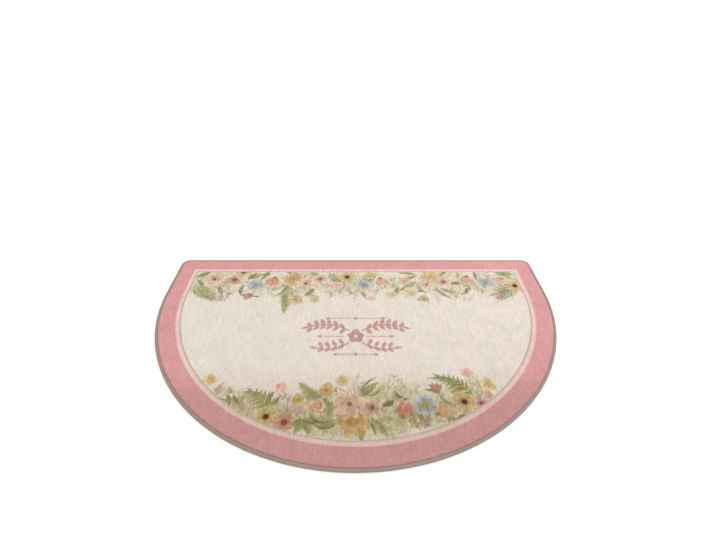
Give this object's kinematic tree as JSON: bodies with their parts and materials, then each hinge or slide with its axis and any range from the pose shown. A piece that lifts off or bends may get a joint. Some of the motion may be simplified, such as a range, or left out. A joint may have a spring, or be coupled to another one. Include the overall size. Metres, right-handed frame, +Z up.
{
  "type": "half-round plush rug",
  "caption": "Flat half-round floor rug of printed plush with a straight back edge, a pink border and an overlocked edge roll.",
  "frame": {"origin": "on the floor, midway between the straight edge and the end of the curve, on the line of symmetry", "axes": "+X along the straight edge, +Y from the curved end towards the straight edge, +Z up through the pile"},
  "size_m": [1.6, 1, 0.009],
  "materials": {
    "printed_plush": "short dense cream pile with a soft sheen, printed with flowers and a dusty pink border",
    "edge_yarn": "matt beige overlocking yarn wound close round the cut edge"
  },
  "bodies": {
    "root": {"rug_body": "printed_plush", "edge_roll": "edge_yarn"}
  },
  "joints": []
}
